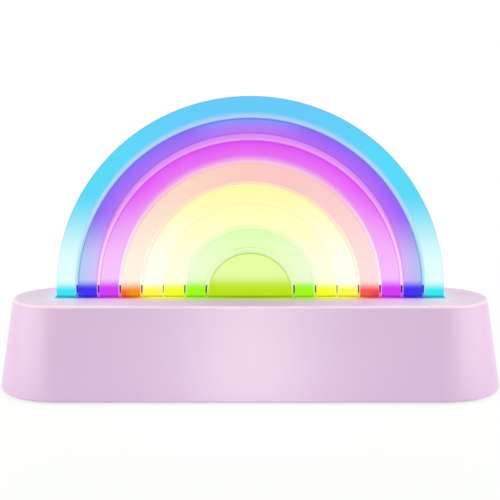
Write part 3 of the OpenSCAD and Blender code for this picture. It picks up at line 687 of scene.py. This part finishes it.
def parted(name, base, areas, low, high):
    """Moulded grain over a base colour, with areas of other colours laid over it."""
    made, s, shader = material(name)
    place = s.axes()
    colour = tint(base)
    metal = 0.0
    for area in areas:
        share = area.mask(s, *place)
        colour = s.mix(share, colour, tint(area.colour))
        if area.metal:
            metal = s.larger(metal, share)
    skin = use(s, "Moulded grain", Colour=colour, Grain=FINE_GRAIN, Mottle=0.05, Gloss_low=low,
               Gloss_high=high)
    surface(s, shader, skin["Colour"], skin["Roughness"], skin["Height"], GRAIN_DEPTH)
    s.feed(shader.inputs["Metallic"], metal)
    return made


# Where the areas lie on their pieces, in metres. A chip's leg is a share of the legs' pitch
CHIP_LEG_PITCH = 0.00127
CHIP_LEG = (0.25, 0.75)
CHIP_LEG_TOP = (BOARD_TOP + 0.0006, BOARD_TOP + 0.0007)
WINDING = (BOARD_TOP + 0.0009, BOARD_TOP + 0.0027)
PHOSPHOR_RISE = (LED_TOP - 0.0004, LED_TOP - 0.0003)
PHOSPHOR_SIDES = (-0.0016, 0.0016)
CELL_WRAP = (0.0007 - CELL_END, CELL_END - 0.0020)
CELL_RING = (CELL_END - 0.0032, CELL_END - 0.0022)
TONGUE_RISE = (SOCKET_Z - 0.0004, SOCKET_Z + 0.0004)
TONGUE_SIDES = (-0.0034, 0.0034)
RED_BATTERY_LEAD = (-0.02405, -0.02395)

# The three leads of the light board run towards -X as they run back: metres along X for each along Y, and
# where the slant of two of them would cross the middle plane
LEAD_SLANT = 2.083
GREEN_LEAD = (0.0300, 0.0429)
RED_LEAD = (0.0451, 0.0600)

# How soft the sides of a chip's leg are, as a share of the pitch, and those of a winding or of phosphor, in
# metres
LEG_SOFT = 0.05
PART_SOFT = 0.0002


def chip_legs(s, x, y, z):
    """Tinned legs along the lower edge of a chip."""
    turn = s.maths("FRACT", s.over(x, CHIP_LEG_PITCH))
    return s.times(s.between(turn, *CHIP_LEG, LEG_SOFT), s.fade(z, *CHIP_LEG_TOP))


def winding(s, x, y, z):
    """Copper in the waist of the inductor."""
    return s.between(z, *WINDING, PART_SOFT)


def phosphor(s, x, y, z):
    """The upper face of the diodes, inside their rims."""
    return s.times(s.step(z, *PHOSPHOR_RISE), s.between(y, *PHOSPHOR_SIDES, PART_SOFT))


def cell_ends(s, x, y, z):
    """Bare steel at both ends of the cell."""
    return s.rest(s.between(x, *CELL_WRAP))


def cell_ring(s, x, y, z):
    """White ring of the wrap at the positive end."""
    return s.between(x, *CELL_RING)


def tongue(s, x, y, z):
    """The black tongue inside the socket."""
    return s.times(s.between(z, *TONGUE_RISE), s.between(x, *TONGUE_SIDES))


def light_board_lead(span):
    """The mask of one of the three leads, told apart by where its slant would cross the middle plane."""
    def mask(s, x, y, z):
        return s.between(s.plus(s.times(y, LEAD_SLANT), x), *span)
    return mask


def red_battery_lead(s, x, y, z):
    """The lead from the positive end of the cell."""
    return s.step(x, *RED_BATTERY_LEAD)


dress(parted("Black chip resin", "26282b", [Area(chip_legs, STEEL, metal=True)], 0.45, 0.6),
      "controller_chip", "charger_chip")
dress(parted("Grey ferrite and copper", "4a4d52", [Area(winding, "b8643a", metal=True)], 0.4, 0.7),
      "power_inductor")
dress(parted("Diode housing and phosphor", "f4f4f0", [Area(phosphor, "f2d44a")], 0.2, 0.35), "leds")
dress(parted("Blue cell wrap", "3f7fc4",
             [Area(cell_ring, "f0f0f0"), Area(cell_ends, STEEL, metal=True)], 0.2, 0.3), "battery_cell")
dress(parted("Tinned socket steel", "c6c8cc", [Area(tongue, "1c1e20")], 0.2, 0.35), "usb_socket")
dress(parted("Lead insulation, three colours", "f2f0ec",
             [Area(light_board_lead(GREEN_LEAD), "2f8f4f"), Area(light_board_lead(RED_LEAD), "c4302c")],
             0.35, 0.5), "led_lead")
dress(parted("Lead insulation, two colours", "1e2022", [Area(red_battery_lead, "c4302c")], 0.35, 0.5),
      "battery_lead")

# The room

# Radius of the floor and distances over which it turns white, in metres, how white it looks near the lamp,
# and the strength of the room's light
FLOOR_R = 6.0
FLOOR_FADE = (0.16, 0.30)
FLOOR_WHITE = 0.8
ROOM_LIGHT = 0.12


def make_floor():
    """White paper that keeps the lamp's shadow near it, and fades to plain white further out."""
    mesh = bpy.data.meshes.new("floor")
    shape = bmesh.new()
    bmesh.ops.create_circle(shape, cap_ends=True, segments=64, radius=FLOOR_R)
    shape.to_mesh(mesh)
    shape.free()
    floor = bpy.data.objects.new("floor", mesh)
    bpy.context.scene.collection.objects.link(floor)
    made = bpy.data.materials.new("Floor paper")
    made.use_nodes = True
    s = Sheet(made.node_tree)
    s.tree.nodes.clear()
    away = s.add("ShaderNodeVectorMath", operation="LENGTH", vector=s.place()).outputs["Value"]
    white_share = s.line(s.step(away, *FLOOR_FADE), 1.0 - FLOOR_WHITE, FLOOR_WHITE)
    paper = s.add("ShaderNodeBsdfDiffuse", color=tint("f4f2f4")).outputs[0]
    white = s.add("ShaderNodeEmission", color=WHITE, strength=1.0).outputs[0]
    s.add("ShaderNodeOutputMaterial", surface=s.blend(s.times(s.seen(), white_share), paper, white))
    mesh.materials.append(made)


def make_room():
    """Dim light from all round, seen as plain white."""
    world = bpy.data.worlds.new("Studio")
    bpy.context.scene.world = world
    world.use_nodes = True
    s = Sheet(world.node_tree)
    s.tree.nodes.clear()
    room = s.add("ShaderNodeBackground", color=tint("fcf8ff"), strength=ROOM_LIGHT).outputs[0]
    white = s.add("ShaderNodeBackground", color=WHITE, strength=1.0).outputs[0]
    s.add("ShaderNodeOutputWorld", surface=s.blend(s.seen(), room, white))


def softbox(name, place, aim, size, power, colour=(1.0, 1.0, 1.0), mirrored=True):
    """A rectangular lamp, unseen by the camera. mirrored says whether gloss shows it."""
    data = bpy.data.lights.new(name, "AREA")
    data.shape = "RECTANGLE"
    data.size, data.size_y = size
    data.energy = power
    data.color = colour
    lamp = bpy.data.objects.new(name, data)
    lamp.location = place
    lamp.rotation_euler = (Vector(aim) - Vector(place)).to_track_quat("-Z", "Y").to_euler()
    lamp.visible_camera = False
    lamp.visible_glossy = mirrored
    bpy.context.scene.collection.objects.link(lamp)


# Each lamp's place and aim in metres, its width and height, its power in watts and its tint
def make_lamps():
    """The tints give the wall its slow change between pink and lilac."""
    softbox("low fill", place=(0.0, -0.11, 0.03), aim=(0.0, 0.0, 0.03), size=(0.05, 0.11), power=0.030,
            colour=(1.0, 1.44, 0.75))
    softbox("front softbox", place=(0.0, -0.50, 0.55), aim=(0.0, 0.0, 0.04), size=(0.9, 0.25), power=0.06)
    softbox("top softbox", place=(0.0, 0.0, 0.80), aim=(0.0, 0.0, 0.04), size=(0.9, 0.5), power=4.16,
            colour=(1.0, 1.165, 1.04))
    softbox("rear low softbox", place=(0.0, 0.45, 0.045), aim=(0.0, 0.0, 0.027), size=(0.7, 0.07), power=1.5,
            colour=(1.0, 1.12, 0.90), mirrored=False)
    for name, side in (("left softbox", -1), ("right softbox", 1)):
        softbox(name, place=(0.33 * side, -0.13, 0.10), aim=(0.12 * side, 0.0, 0.03), size=(0.30, 0.30),
                power=0.69, colour=(1.0, 1.11, 0.75))


# The camera that was fitted to the photograph: millimetres, metres and degrees below level
CAMERA_LENS = 66.8
CAMERA_SENSOR = 36.0
CAMERA_PLACE = (-0.0001, -0.500, 0.1448)
CAMERA_DIP = 7.86


def make_camera():
    data = bpy.data.cameras.new("camera")
    data.lens = CAMERA_LENS
    data.sensor_width = CAMERA_SENSOR
    data.clip_start = 0.01
    camera = bpy.data.objects.new("camera", data)
    camera.location = CAMERA_PLACE
    camera.rotation_euler = (math.radians(90 - CAMERA_DIP), 0.0, 0.0)
    bpy.context.scene.collection.objects.link(camera)
    bpy.context.scene.camera = camera


make_floor()
make_room()
make_lamps()
make_camera()
bpy.context.scene.view_settings.view_transform = "Standard"
